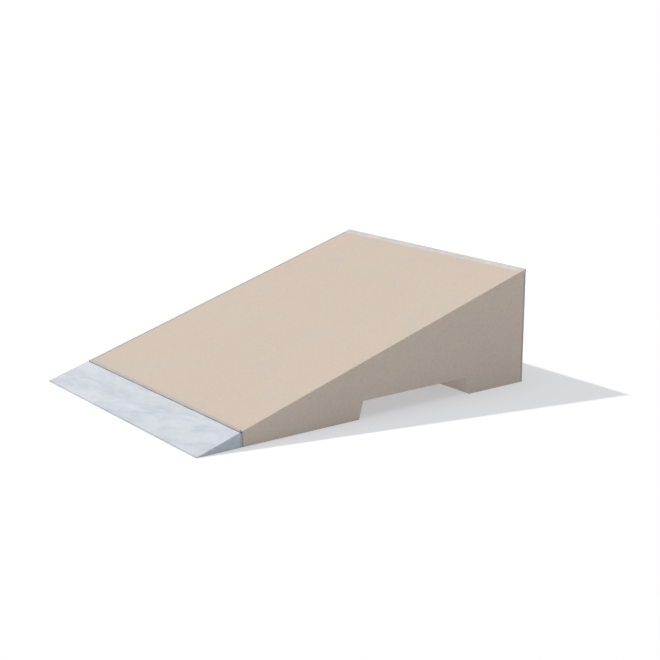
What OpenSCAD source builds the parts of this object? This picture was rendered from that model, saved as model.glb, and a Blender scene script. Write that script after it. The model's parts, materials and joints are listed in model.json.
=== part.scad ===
// Loading ramp: a precast concrete wedge with a fork tunnel underneath, a steel
// nosing along its top edge, and a steel toe wedge that folds back on a long hinge.
// Millimetres. +X runs up the ramp, Y is across it, +Z is up. The origin is on the
// ground, midway along the ramp's length and width.

/* [Ramp] */
// Length from the tip of the toe to the rear face
ramp_l = 2000; // [1960:10:2060]
// Width across the deck
ramp_w = 1500; // [1400:20:1600]
// Height of the rear edge
ramp_h = 606; // [580:2:640]
// Height of the toe's blunt tip
nose_h = 2; // [1:0.5:3]

/* [Fork tunnel] */
// Tip of the toe to the tunnel's front edge, at the ground
tunnel_front = 910; // [890:10:940]
// Width of the tunnel at the ground
tunnel_w = 710; // [680:10:730]
// Height of the tunnel's roof
tunnel_h = 90; // [80:2:100]
// Lean of each tunnel side over its height
tunnel_draft = 24; // [12:2:30]

/* [Toe] */
// Tip of the toe to the hinge's axis
toe_l = 238; // [230:2:250]
// Thickness of the toe's and the block's plates
plate_t = 6; // [5:0.5:8]

/* [Hinge] */
// Number of knuckles, shared by the two leaves
knuckles = 15; // [9:2:19]
// Outer diameter of a knuckle
knuckle_d = 12; // [12:0.5:13]
// Diameter of the hinge pin
pin_d = 7; // [6.5:0.5:7]
// Height of a leaf below the hinge's axis
leaf_h = 40; // [36:1:40]

/* [Edge steel] */
// Length of the nosing's leg on the deck
nosing_leg = 40; // [36:1:46]
// Length of the nosing's leg down the rear face
nosing_drop = 22; // [20:1:26]
// Thickness of the nosing
nosing_t = 5; // [4:0.5:5.5]

/* [Reinforcement] */
// Diameter of the bars that run along the ramp
long_bar_d = 10; // [8:1:12]
// Diameter of the bars that run across the ramp
cross_bar_d = 8; // [6:1:8]
// Concrete between a bar that runs along the ramp and the surface
cover = 35; // [32:1:36]

/* [Hidden] */
$fn = 48;

galvanised = [0.70, 0.73, 0.77];
bright_zinc = [0.78, 0.79, 0.80];
concrete = [0.78, 0.71, 0.64];
rubber = [0.12, 0.12, 0.13];
bar_steel = [0.42, 0.33, 0.28];
fibre_concrete = [0.55, 0.54, 0.52];

slope = (ramp_h - nose_h) / ramp_l;
deck_angle = atan(slope);

// The nosing stands a little proud of the concrete's rear face.
nosing_proud = 2;

// Hinge: its axis lies just above the deck, so that the toe can fold flat on it.
hinge_rise = 1;
axis_x = toe_l;
axis_z = deck_z(toe_l) + hinge_rise / cos(deck_angle);
pin_play = 0.05;
knuckle_gap = 1;
knuckle_clear = 0.8;
leaf_inset = 0.2;
leaf_clear = 0.05;
leaf_back = knuckle_d / 2 - leaf_inset;
leaf_face = pin_d / 2 + pin_play + leaf_clear;
hinge_end_gap = 10;
hinge_l = ramp_w - 2 * hinge_end_gap;
knuckle_pitch = hinge_l / knuckles;
pin_cap_t = 3;
pin_cap_inset = 0.5;

// Leaf screws, with countersunk heads
leaf_screws = 10;
screw_d = 5;
screw_head_d = 9.4;
screw_play = 0.05;
screw_drop = 26;
screw_cone_gap = 0.4;
screw_tip_gap = 0.5;

// Rubber buffer between the toe and the block, under the leaves
buffer_z = 6;
buffer_clear = 7;
buffer_h = axis_z - leaf_h - buffer_z - buffer_clear;
buffer_gap = 0.3;
buffer_end_gap = 4;
buffer_l = ramp_w - 2 * (plate_t + buffer_end_gap);
buffer_screws = 8;
buffer_screw_inset = 20;
buffer_screw_l = 12;
buffer_head_t = 3;
buffer_head_depth = 4;

// Front plate of the block and its headed studs
front_plate_x = axis_x + leaf_back;
block_front_x = front_plate_x + plate_t;
front_plate_chamfer = 2.5;
studs = 7;
stud_pitch = 200;
stud_d = 10;
stud_l = 60;
stud_head_d = 19;
stud_head_t = 7;

// Concrete block
foot_chamfer = 3;
tunnel_rear = tunnel_front + tunnel_w;
rear_x = ramp_l - nosing_proud;

// Plates that close the nosing's ends and hold it in the concrete
nosing_end_t = 4;
nosing_end_w = 13;
anchors = 7;
anchor_pitch = 220;
anchor_t = 5;
anchor_root = 24;
anchor_rear_root = 10;
anchor_l = 110;
anchor_neck = 45;
anchor_strap_w = 20;
anchor_foot = 36;
anchor_foot_t = 6;

// Toe wedge
toe_ribs = 7;
toe_back_x = axis_x - leaf_back;
toe_inner_x = toe_back_x - plate_t;
toe_edge_gap = 0.6;
foot_bar_w = 50;
cheek_front_x = 22;
cheek_gap = 1.5;
cheek_slant = 2.5;
cheek_lift = 2;
rib_front_x = 70;
rib_pitch = ramp_w / (toe_ribs + 1);
rib_notch = 14;

// Reinforcing bars. Each layer keeps its own places, so that no two bars meet.
bar_play = 0.5;
side_cover = 35;
long_bars = 8;
bar_pitch = 200;
foot_bar_shift = 60;
cross_pitch = 150;
long_depth = cover + long_bar_d / 2;
cross_depth = long_depth + long_bar_d / 2 + bar_play + cross_bar_d / 2;
deck_bar_front = 275;
rear_inset = 55;
deck_cross_front = 420;
front_cross_front = 400;
roof_long_front = 690;
roof_cross_front = 760;
foot_bar_inset = 36;
rear_foot_cross_bars = 3;
rear_foot_cross_inset = 80;
rear_bar_x = rear_x - long_depth;
rear_upright_top = ramp_h - 66;
rear_cross_z = [190, 330, 470];

// Spacers that hold the lowest bars off the mould
spacer_r = 14;
spacer_h = cover - bar_play;
spacer_front = 320;
spacer_bars = [0, 3, 4, 7];

// Lifting sockets in the rear face
socket_y = 450;
socket_z = 260;
socket_r = 16.5;
socket_bore_r = 12;
socket_l = 70;
socket_bore_l = 55;
socket_recess_r = 24;
socket_recess = 10;
tail_r = 8;
tail_l = 190;
tail_head_r = 18;
tail_head_t = 8;

overcut = 1;

// ---- Placing ----

// Height of the deck at a distance x from the tip of the toe
function deck_z(x) = nose_h + x * slope;

// Evenly spaced places about the middle
function spread(count, pitch) = [for (i = [0 : count - 1]) (i - (count - 1) / 2) * pitch];

// Moves parts drawn from the tip of the toe to the ramp's own frame
module placed() {
  translate([-ramp_l / 2, 0, 0]) children();
}

// Extrudes an outline drawn in X and Z across the ramp
module across(w) {
  rotate([90, 0, 0]) linear_extrude(w, center = true) children();
}

// Round bar along X, from x to x + l
module rod_x(r, l) {
  rotate([0, 90, 0]) cylinder(h = l, r = r);
}

// Round bar across the ramp, centred
module rod_y(r, l) {
  rotate([90, 0, 0]) cylinder(h = l, r = r, center = true);
}

// Turns its children so that their X runs up the deck
module up_deck() {
  rotate([0, -deck_angle, 0]) children();
}

// ---- Hinge ----

// Middle of knuckle i across the ramp
function knuckle_y(i) = (i - (knuckles - 1) / 2) * knuckle_pitch;

// Leaf on the +X side of the axis; its knuckles are first, first + 2, ...
module hinge_leaf(first) {
  strip_top = -(knuckle_d / 2 + knuckle_clear);
  difference() {
    union() {
      translate([leaf_face, -hinge_l / 2, -leaf_h])
        cube([leaf_back - leaf_face, hinge_l, leaf_h + strip_top]);
      for (i = [first : 2 : knuckles - 1])
        translate([0, knuckle_y(i), 0]) {
          rod_y(knuckle_d / 2, knuckle_pitch - knuckle_gap);
          translate([leaf_face, -(knuckle_pitch - knuckle_gap) / 2, strip_top - overcut])
            cube([leaf_back - leaf_face, knuckle_pitch - knuckle_gap, overcut - strip_top]);
        }
    }
    rod_y(pin_d / 2 + pin_play, hinge_l + 2 * overcut);
    for (y = leaf_screw_places())
      translate([0, y, -screw_drop]) leaf_screw(screw_play);
  }
}

function leaf_screw_places() = spread(leaf_screws, hinge_l / leaf_screws);

// Countersunk screw along +X, its head flush with the leaf's face
module leaf_screw(play) {
  head_l = leaf_back - leaf_face - screw_cone_gap;
  translate([leaf_face, 0, 0]) {
    rotate([0, 90, 0])
      cylinder(h = head_l, r1 = screw_head_d / 2 + play, r2 = screw_d / 2 + play);
    rod_x(screw_d / 2 + play, leaf_back - leaf_face + plate_t - screw_tip_gap + play);
  }
}

module leaf_screw_row() {
  for (y = leaf_screw_places())
    translate([0, y, -screw_drop]) leaf_screw(0);
}

module at_hinge() {
  translate([axis_x, 0, axis_z]) children();
}

module block_hinge_leaf() {
  color(bright_zinc) placed() at_hinge() hinge_leaf(0);
}

module toe_hinge_leaf() {
  color(bright_zinc) placed() at_hinge() mirror([1, 0, 0]) hinge_leaf(1);
}

module block_leaf_screws() {
  color(bright_zinc) placed() at_hinge() leaf_screw_row();
}

module toe_leaf_screws() {
  color(bright_zinc) placed() at_hinge() mirror([1, 0, 0]) leaf_screw_row();
}

module hinge_pin() {
  color(bright_zinc) placed() at_hinge() rod_y(pin_d / 2, hinge_l);
}

// Disc welded on the end knuckle, which keeps the pin in
module pin_cap(side) {
  color(bright_zinc) placed() at_hinge()
    translate([0, side * (hinge_l + pin_cap_t) / 2, 0])
      rod_y(knuckle_d / 2 - pin_cap_inset, pin_cap_t);
}

// ---- Toe wedge ----

function under_plate_z(x) = deck_z(x) - plate_t / cos(deck_angle);

// The deck plate ends just in front of the knuckles and the toe's leaf.
toe_edge_x = toe_back_x - toe_edge_gap;
toe_edge = [toe_edge_x, deck_z(toe_edge_x)];
toe_under_edge = [toe_edge_x, under_plate_z(toe_edge_x)];

// Plate's outline, bevelled flat on the ground at the tip
module toe_plate_outline() {
  under = plate_t / cos(deck_angle);
  polygon([[0, 0], [0, nose_h], toe_edge, toe_under_edge, [(under - nose_h) / slope, 0]]);
}

module toe_top_plate() {
  color(galvanised) placed() across(ramp_w) toe_plate_outline();
}

// The back plate meets the top plate's underside along a sloped edge
module toe_back_plate() {
  color(galvanised) placed() difference() {
    across(ramp_w - 2 * plate_t) polygon([
      [toe_inner_x, 0],
      [toe_inner_x, under_plate_z(toe_inner_x)],
      [toe_back_x, under_plate_z(toe_back_x)],
      [toe_back_x, 0]
    ]);
    at_hinge() mirror([1, 0, 0]) for (y = leaf_screw_places())
      translate([0, y, -screw_drop]) leaf_screw(screw_play);
  }
}

// Side plate. It runs past the back plate and covers the joint from the side, up to
// just below the knuckles.
module toe_cheek(side) {
  cover_x = front_plate_x - cheek_gap;
  cover_z = axis_z - knuckle_d / 2 - cheek_gap;
  color(galvanised) placed() translate([0, side * (ramp_w - plate_t) / 2, 0])
    across(plate_t) polygon([
      [cheek_front_x, 0],
      [cheek_front_x, under_plate_z(cheek_front_x)],
      toe_under_edge,
      [toe_edge_x + cheek_slant, cover_z],
      [cover_x, cover_z],
      [cover_x, cheek_lift],
      [toe_back_x, cheek_lift],
      [toe_back_x, 0]
    ]);
}

// Rib that stands on the foot bar, with a drain notch where the back plate meets the
// top plate
module toe_rib(i) {
  color(galvanised) placed() translate([0, spread(toe_ribs, rib_pitch)[i], 0])
    difference() {
      across(plate_t) polygon([
        [rib_front_x, 0],
        [rib_front_x, under_plate_z(rib_front_x)],
        [toe_inner_x, under_plate_z(toe_inner_x)],
        [toe_inner_x, plate_t],
        [toe_inner_x - foot_bar_w, plate_t],
        [toe_inner_x - foot_bar_w, 0]
      ]);
      translate([toe_inner_x, 0, under_plate_z(toe_inner_x)])
        rod_y(rib_notch, plate_t + 2 * overcut);
    }
}

// Flat bar on the ground under the ribs
module toe_foot_bar() {
  color(galvanised) placed()
    translate([toe_inner_x - foot_bar_w, -ramp_w / 2 + plate_t, 0])
      cube([foot_bar_w, ramp_w - 2 * plate_t, plate_t]);
}

// ---- Front of the block ----

module front_plate() {
  top_z = deck_z(front_plate_x);
  color(galvanised) placed() difference() {
    across(ramp_w) polygon([
      [front_plate_x, 0],
      [front_plate_x, top_z - front_plate_chamfer],
      [front_plate_x + front_plate_chamfer, deck_z(front_plate_x + front_plate_chamfer)],
      [block_front_x, deck_z(block_front_x)],
      [block_front_x, 0]
    ]);
    at_hinge() for (y = leaf_screw_places())
      translate([0, y, -screw_drop]) leaf_screw(screw_play);
    for (y = buffer_screw_places())
      translate([0, y, 0]) buffer_screw(screw_play);
  }
}

function stud_z() = deck_z(block_front_x) / 2;

// Headed stud welded on the back of the front plate
module front_stud_shape() {
  translate([block_front_x, 0, stud_z()]) {
    rod_x(stud_d / 2, stud_l);
    translate([stud_l - stud_head_t, 0, 0]) rod_x(stud_head_d / 2, stud_head_t);
  }
}

module front_stud(i) {
  color(galvanised) placed() translate([0, spread(studs, stud_pitch)[i], 0]) front_stud_shape();
}

function buffer_screw_places() =
  spread(buffer_screws, (ramp_w - 2 * buffer_screw_inset) / buffer_screws);

function buffer_mid_z() = buffer_z + buffer_h / 2;

// Cheese-head screw that holds the buffer on the front plate, along +X
module buffer_screw(play) {
  translate([toe_back_x + buffer_gap + buffer_head_depth, 0, buffer_mid_z()]) {
    rod_x(screw_head_d / 2 + play, buffer_head_t);
    rod_x(screw_d / 2 + play, buffer_screw_l);
  }
}

module buffer_screw_row() {
  color(bright_zinc) placed()
    for (y = buffer_screw_places()) translate([0, y, 0]) buffer_screw(0);
}

// Rubber strip that the toe's back plate rests against
module toe_buffer() {
  face_x = toe_back_x + buffer_gap;
  color(rubber) placed() difference() {
    translate([face_x, -buffer_l / 2, buffer_z])
      cube([front_plate_x - face_x, buffer_l, buffer_h]);
    for (y = buffer_screw_places()) translate([0, y, 0]) {
      buffer_screw(screw_play);
      translate([face_x - overcut, 0, buffer_mid_z()])
        rod_x(screw_head_d / 2 + screw_play, buffer_head_depth + 2 * overcut);
    }
  }
}

// ---- Nosing ----

// Lower edge of the nosing on the deck
function nosing_edge() = [ramp_l, ramp_h] - nosing_leg * [cos(deck_angle), sin(deck_angle)];

// Inside corner of the nosing
function nosing_corner() =
  [ramp_l - nosing_t, deck_z(ramp_l - nosing_t) - nosing_t / cos(deck_angle)];

module nosing_outline() {
  polygon([
    [ramp_l, ramp_h],
    nosing_edge(),
    nosing_edge() + nosing_t * [sin(deck_angle), -cos(deck_angle)],
    nosing_corner(),
    [nosing_corner()[0], ramp_h - nosing_drop],
    [ramp_l, ramp_h - nosing_drop]
  ]);
}

module nosing() {
  color(galvanised) placed() across(ramp_w) nosing_outline();
}

// Small plate that closes one end of the nosing, flush with the block's side
module nosing_end_shape(side) {
  corner = nosing_corner();
  far = corner - nosing_end_w * [cos(deck_angle), sin(deck_angle)];
  translate([0, side * (ramp_w - nosing_end_t) / 2, 0]) across(nosing_end_t) polygon([
    corner,
    far,
    [far[0], ramp_h - nosing_drop],
    [corner[0], ramp_h - nosing_drop]
  ]);
}

module nosing_end(side) {
  color(galvanised) placed() nosing_end_shape(side);
}

// Plate in the nosing's inner corner, with a strap and a cross foot in the concrete
module nosing_anchor_shape() {
  c = cos(deck_angle);
  s = sin(deck_angle);
  corner = nosing_corner();
  half = (90 - deck_angle) / 2;
  dir = [-sin(half), -cos(half)];
  side = [cos(half), -sin(half)];
  w = anchor_strap_w / 2;
  across(anchor_t) polygon([
    corner,
    corner - anchor_root * [c, s],
    corner + anchor_neck * dir - w * side,
    corner + anchor_l * dir - w * side,
    corner + anchor_l * dir - anchor_foot / 2 * side,
    corner + (anchor_l + anchor_foot_t) * dir - anchor_foot / 2 * side,
    corner + (anchor_l + anchor_foot_t) * dir + anchor_foot / 2 * side,
    corner + anchor_l * dir + anchor_foot / 2 * side,
    corner + anchor_l * dir + w * side,
    corner + anchor_neck * dir + w * side,
    corner - anchor_rear_root * [0, 1]
  ]);
}

module nosing_anchor(i) {
  color(galvanised) placed()
    translate([0, spread(anchors, anchor_pitch)[i], 0]) nosing_anchor_shape();
}

// ---- Reinforcement ----

long_bar_places = spread(long_bars, bar_pitch);
foot_bar_places = concat(
  [for (y = long_bar_places) if (y < 0) y + foot_bar_shift],
  [for (y = long_bar_places) if (y > 0) y - foot_bar_shift]
);
cross_l = ramp_w - 2 * side_cover;

// One straight bar along X at height z
module long_bar(x0, x1, y, z) {
  translate([x0, y, z]) rod_x(long_bar_d / 2, x1 - x0);
}

module deck_long_bar_set() {
  x1 = rear_x - rear_inset;
  for (y = long_bar_places)
    translate([deck_bar_front, y, deck_z(deck_bar_front) - long_depth / cos(deck_angle)])
      up_deck() rod_x(long_bar_d / 2, (x1 - deck_bar_front) / cos(deck_angle));
}

module deck_cross_bar_set() {
  for (x = [deck_cross_front : cross_pitch : rear_x - rear_inset - cross_bar_d])
    translate([x, 0, deck_z(x) - cross_depth / cos(deck_angle)]) rod_y(cross_bar_d / 2, cross_l);
}

module front_foot_long_bar_set() {
  for (y = foot_bar_places) long_bar(deck_bar_front, tunnel_front - foot_bar_inset, y, long_depth);
}

module front_foot_cross_bar_set() {
  for (x = [front_cross_front : cross_pitch : tunnel_front - foot_bar_inset])
    translate([x, 0, cross_depth]) rod_y(cross_bar_d / 2, cross_l);
}

module roof_long_bar_set() {
  for (y = foot_bar_places)
    long_bar(roof_long_front, rear_x - rear_inset, y, tunnel_h + long_depth);
}

module roof_cross_bar_set() {
  for (x = [roof_cross_front : cross_pitch : rear_x - rear_inset - cross_bar_d])
    translate([x, 0, tunnel_h + cross_depth]) rod_y(cross_bar_d / 2, cross_l);
}

module rear_foot_long_bar_set() {
  for (y = foot_bar_places)
    long_bar(tunnel_rear + foot_bar_inset, rear_x - rear_inset, y, long_depth);
}

module rear_foot_cross_bar_set() {
  foot_l = ramp_l - tunnel_rear;
  pitch = (foot_l - 2 * rear_foot_cross_inset) / (rear_foot_cross_bars - 1);
  for (x = spread(rear_foot_cross_bars, pitch))
    translate([tunnel_rear + foot_l / 2 + x, 0, cross_depth]) rod_y(cross_bar_d / 2, cross_l);
}

module rear_upright_bar_set() {
  for (y = long_bar_places)
    translate([rear_bar_x, y, long_depth])
      cylinder(h = rear_upright_top - long_depth, r = long_bar_d / 2);
}

module rear_cross_bar_set() {
  for (z = rear_cross_z)
    translate([rear_x - cross_depth, 0, z]) rod_y(cross_bar_d / 2, cross_l);
}

function spacer_rows() = [
  [spacer_front, tunnel_front - 2 * foot_bar_inset],
  [tunnel_rear + 2 * foot_bar_inset, ramp_l - 2 * foot_bar_inset]
];

module bar_spacer_set() {
  for (row = spacer_rows(), x = row, i = spacer_bars)
    translate([x, foot_bar_places[i], 0]) cylinder(h = spacer_h, r = spacer_r);
}

// ---- Lifting sockets ----

// Tube with a blind bore, flush with the bottom of its recess in the rear face
module lifting_socket_shape() {
  rotate([0, -90, 0]) difference() {
    cylinder(h = socket_l, r = socket_r);
    translate([0, 0, -overcut]) cylinder(h = socket_bore_l + overcut, r = socket_bore_r);
  }
}

module socket_tail_shape() {
  translate([-socket_l, 0, 0]) mirror([1, 0, 0]) {
    rod_x(tail_r, tail_l);
    translate([tail_l - tail_head_t, 0, 0]) rod_x(tail_head_r, tail_head_t);
  }
}

module at_socket(side) {
  translate([rear_x - socket_recess, side * socket_y, socket_z]) children();
}

module lifting_socket(side) {
  color(bright_zinc) placed() at_socket(side) lifting_socket_shape();
}

module socket_anchor(side) {
  color(bar_steel) placed() at_socket(side) socket_tail_shape();
}

// Space that a socket and its anchor take in the concrete, with the recess in front
module socket_space(side) {
  at_socket(side) {
    rotate([0, -90, 0]) cylinder(h = socket_l, r = socket_r);
    socket_tail_shape();
    rod_x(socket_recess_r, socket_recess + overcut);
  }
}

// ---- Concrete block ----

// Side view of the block: a rebate for the nosing, chamfered feet, and a tunnel whose
// sides lean outwards to the ground
module block_outline() {
  f = foot_chamfer;
  lean = tunnel_draft / tunnel_h;
  polygon([
    [block_front_x, 0],
    [block_front_x, deck_z(block_front_x)],
    nosing_edge(),
    nosing_edge() + nosing_t * [sin(deck_angle), -cos(deck_angle)],
    nosing_corner(),
    [nosing_corner()[0], ramp_h - nosing_drop],
    [rear_x, ramp_h - nosing_drop],
    [rear_x, f],
    [rear_x - f, 0],
    [tunnel_rear + f, 0],
    [tunnel_rear - f * lean, f],
    [tunnel_rear - tunnel_draft, tunnel_h],
    [tunnel_front + tunnel_draft, tunnel_h],
    [tunnel_front + f * lean, f],
    [tunnel_front - f, 0]
  ]);
}

module cast_in_space() {
  for (y = spread(studs, stud_pitch)) translate([0, y, 0]) front_stud_shape();
  for (y = spread(anchors, anchor_pitch)) translate([0, y, 0]) nosing_anchor_shape();
  for (side = [-1, 1]) nosing_end_shape(side);
  deck_long_bar_set();
  deck_cross_bar_set();
  front_foot_long_bar_set();
  front_foot_cross_bar_set();
  roof_long_bar_set();
  roof_cross_bar_set();
  rear_foot_long_bar_set();
  rear_foot_cross_bar_set();
  rear_upright_bar_set();
  rear_cross_bar_set();
  bar_spacer_set();
  for (side = [-1, 1]) socket_space(side);
}

module concrete_block() {
  color(concrete) placed() difference() {
    across(ramp_w) block_outline();
    cast_in_space();
  }
}

// ---- Nodes ----

module bars() {
  color(bar_steel) placed() children();
}

module bar_spacers() {
  color(fibre_concrete) placed() bar_spacer_set();
}

concrete_block();
nosing();
nosing_end(1);  // nosing_end_left
nosing_end(-1);  // nosing_end_right
for (i = [0 : anchors - 1])
  nosing_anchor(i);
front_plate();
for (i = [0 : studs - 1])
  front_stud(i);
block_hinge_leaf();
block_leaf_screws();
hinge_pin();
pin_cap(1);  // pin_cap_left
pin_cap(-1);  // pin_cap_right
toe_buffer();
buffer_screw_row();  // buffer_screws
bars() deck_long_bar_set();  // deck_long_bars
bars() deck_cross_bar_set();  // deck_cross_bars
bars() front_foot_long_bar_set();  // front_foot_long_bars
bars() front_foot_cross_bar_set();  // front_foot_cross_bars
bars() roof_long_bar_set();  // roof_long_bars
bars() roof_cross_bar_set();  // roof_cross_bars
bars() rear_foot_long_bar_set();  // rear_foot_long_bars
bars() rear_foot_cross_bar_set();  // rear_foot_cross_bars
bars() rear_upright_bar_set();  // rear_upright_bars
bars() rear_cross_bar_set();  // rear_cross_bars
bar_spacers();
lifting_socket(1);  // lifting_socket_left
lifting_socket(-1);  // lifting_socket_right
socket_anchor(1);  // socket_anchor_left
socket_anchor(-1);  // socket_anchor_right
toe_top_plate();
toe_back_plate();
toe_cheek(1);  // toe_cheek_left
toe_cheek(-1);  // toe_cheek_right
for (i = [0 : toe_ribs - 1])
  toe_rib(i);
toe_foot_bar();
toe_hinge_leaf();
toe_leaf_screws();
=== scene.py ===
"""Looks of the loading ramp: its concrete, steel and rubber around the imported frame.

Metres. +X runs up the ramp, Y is across it, +Z is up, and the origin is on the ground,
midway along the ramp's length and width.
"""

import json
import math
import random

import bmesh
import bpy
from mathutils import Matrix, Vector, noise
from mathutils.geometry import delaunay_2d_cdt


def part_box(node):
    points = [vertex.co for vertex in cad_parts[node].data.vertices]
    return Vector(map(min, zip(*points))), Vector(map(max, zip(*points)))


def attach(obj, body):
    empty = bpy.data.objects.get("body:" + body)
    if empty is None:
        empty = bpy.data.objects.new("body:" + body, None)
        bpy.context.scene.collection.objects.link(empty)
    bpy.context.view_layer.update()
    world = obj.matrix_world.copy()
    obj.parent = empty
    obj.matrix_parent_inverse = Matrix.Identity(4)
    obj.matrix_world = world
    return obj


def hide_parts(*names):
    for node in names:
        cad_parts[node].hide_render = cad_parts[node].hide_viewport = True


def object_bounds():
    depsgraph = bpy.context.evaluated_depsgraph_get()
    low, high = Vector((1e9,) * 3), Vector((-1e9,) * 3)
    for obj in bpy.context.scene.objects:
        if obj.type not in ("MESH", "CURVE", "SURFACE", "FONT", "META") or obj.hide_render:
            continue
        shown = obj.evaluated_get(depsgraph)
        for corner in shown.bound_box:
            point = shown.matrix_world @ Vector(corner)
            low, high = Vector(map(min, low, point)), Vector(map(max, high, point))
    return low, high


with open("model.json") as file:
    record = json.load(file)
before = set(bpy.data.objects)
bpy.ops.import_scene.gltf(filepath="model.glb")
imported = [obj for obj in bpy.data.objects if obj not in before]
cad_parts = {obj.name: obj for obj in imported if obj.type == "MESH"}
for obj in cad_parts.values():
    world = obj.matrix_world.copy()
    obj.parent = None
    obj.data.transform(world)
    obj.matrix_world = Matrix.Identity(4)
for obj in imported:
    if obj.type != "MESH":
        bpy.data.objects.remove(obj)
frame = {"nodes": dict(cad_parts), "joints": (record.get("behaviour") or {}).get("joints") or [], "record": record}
cad_lo, cad_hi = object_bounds()

# ---- Sizes, from the frame and from the part's own driving dimensions ----

NOSE_H = 0.002  # height of the toe's blunt tip
SLOPE = (cad_hi.z - NOSE_H) / (cad_hi.x - cad_lo.x)
DECK_ANGLE = math.atan(SLOPE)
# Unit vectors up along the deck, and square to it.
UP_DECK = Vector((math.cos(DECK_ANGLE), 0, math.sin(DECK_ANGLE)))
OFF_DECK = Vector((-math.sin(DECK_ANGLE), 0, math.cos(DECK_ANGLE)))
HALF_W = cad_hi.y
PLATE_T = 0.006  # thickness of the toe's plates

FRONT_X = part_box("concrete_block")[0].x
REAR_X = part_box("concrete_block")[1].x
TUNNEL_FRONT = -0.090
TUNNEL_REAR = 0.620
TUNNEL_H = 0.090
TUNNEL_DRAFT = 0.024
FOOT_CHAMFER = 0.003

NOSING_LEG = 0.040
NOSING_DROP = 0.022
NOSING_T = 0.005
NOSING_END_W = 0.013
NOSING_END_T = 0.004

SOCKET_Y = 0.450
SOCKET_Z = 0.260
SOCKET_RECESS_R = 0.024
SOCKET_RECESS = 0.010
SOCKET_R = 0.0165
SOCKET_L = 0.070

SPACER_R = 0.014
SPACER_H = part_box("bar_spacers")[1].z

AXIS = Vector(frame["joints"][0]["pos_m"])
TOE_BACK_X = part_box("toe_back_plate")[1].x
TOE_INNER_X = TOE_BACK_X - PLATE_T
TOE_EDGE_GAP = 0.0006
TOE_EDGE_X = TOE_BACK_X - TOE_EDGE_GAP
FRONT_PLATE_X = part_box("front_plate")[0].x
FRONT_CHAMFER = 0.0025
RIBS = 7
RIB_PITCH = 2 * HALF_W / (RIBS + 1)
RIB_INSET = 0.070
RIB_FRONT_X = cad_lo.x + RIB_INSET
RIB_NOTCH = 0.014
FOOT_BAR_W = 0.050
CHEEK_INSET = 0.022
CHEEK_FRONT_X = cad_lo.x + CHEEK_INSET
# The part of each cheek that covers the joint.
COVER_DROP = 0.0075  # below the hinge axis
COVER_LIFT = 0.002  # off the ground
COVER_SLANT = 0.0025
LEAF_SCREWS = 10
LEAF_SCREW_PITCH = 0.148
LEAF_SCREW_DROP = 0.026
LEAF_FACE = 0.0036  # from the hinge axis to the leaf faces that hold the screws
BUFFER_SCREWS = 8
BUFFER_END_GAP = 0.020
BUFFER_SCREW_PITCH = 2 * (HALF_W - BUFFER_END_GAP) / BUFFER_SCREWS


def deck_z(x):
    """Height of the deck at x."""
    return NOSE_H + (x - cad_lo.x) * SLOPE


def under_plate_z(x):
    """Height of the underside of the toe's deck plate at x."""
    return deck_z(x) - PLATE_T / math.cos(DECK_ANGLE)


def spread(count, pitch):
    """Evenly spaced places about the middle."""
    return [(i - (count - 1) / 2) * pitch for i in range(count)]


# ---- Camera, light and floor ----

CAMERA_PLACE = (-3.797, -5.483, 1.961)
CAMERA_BACK_AZIMUTH = 233.27
CAMERA_ELEVATION = 14.16
CAMERA_LENS = 71.72
FILM_WIDTH = 36
SUN_TRAVEL = Vector((0.323, -0.602, -0.730))
SUN_POWER = 2.67
SUN_SPREAD = 2.0
SUN_COLOR = (1.0, 0.94, 0.88)
FILL_POWER = 0.57
FILL_SPREAD = 12.0
SKY_COLOR = (0.942, 0.971, 1.0)
SKY_LOW = 0.15
SKY_HIGH = 1.41
SKY_FOCUS = 4.0
FLOOR_SIZE = 6000.0
FLOOR_GAP = 0.0003  # below the ground plane
FLOOR_COLOR = (0.545, 0.530, 0.540)
FLOOR_GLOW = 0.365


def camera_back():
    """Direction from the ramp to the camera."""
    azimuth = math.radians(CAMERA_BACK_AZIMUTH)
    elevation = math.radians(CAMERA_ELEVATION)
    level = math.cos(elevation)
    return Vector((math.cos(azimuth) * level, math.sin(azimuth) * level, math.sin(elevation)))


def aimed(name, data, travel):
    """A camera or lamp that looks along travel."""
    made = bpy.data.objects.new(name, data)
    bpy.context.scene.collection.objects.link(made)
    made.rotation_mode = "QUATERNION"
    made.rotation_quaternion = travel.to_track_quat("-Z", "Y")
    return made


def make_camera():
    """The camera, level and without lens shift."""
    data = bpy.data.cameras.new("camera")
    data.lens = CAMERA_LENS
    data.sensor_width = FILM_WIDTH
    data.clip_end = 2 * FLOOR_SIZE
    camera = aimed("camera", data, -camera_back())
    camera.location = CAMERA_PLACE
    bpy.context.scene.camera = camera


def make_lamp(name, travel, power, spread_angle, color):
    """A distant lamp whose light travels along travel."""
    data = bpy.data.lights.new(name, "SUN")
    data.energy = power
    data.angle = math.radians(spread_angle)
    data.color = color
    aimed(name, data, travel)


def make_sky():
    """A white sky that is brightest overhead."""
    world = bpy.data.worlds.new("sky")
    bpy.context.scene.world = world
    world.use_nodes = True
    tree = world.node_tree

    def maths(operation, a, b, c=0.0):
        made = tree.nodes.new("ShaderNodeMath")
        made.operation = operation
        tree.links.new(a, made.inputs[0])
        made.inputs[1].default_value = b
        made.inputs[2].default_value = c
        return made.outputs[0]

    split = tree.nodes.new("ShaderNodeSeparateXYZ")
    tree.links.new(tree.nodes.new("ShaderNodeTexCoord").outputs["Generated"], split.inputs[0])
    high = maths("POWER", maths("MAXIMUM", split.outputs["Z"], 0.0), SKY_FOCUS)
    background = tree.nodes["Background"]
    background.inputs["Color"].default_value = (*SKY_COLOR, 1)
    tree.links.new(maths("MULTIPLY_ADD", high, SKY_HIGH, SKY_LOW), background.inputs["Strength"])


# ---- Node materials ----

# Scales of noise and cells are per metre. Where a texture is turned into a mask, the numbers
# beside it are the range over which the mask rises or falls.

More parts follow.
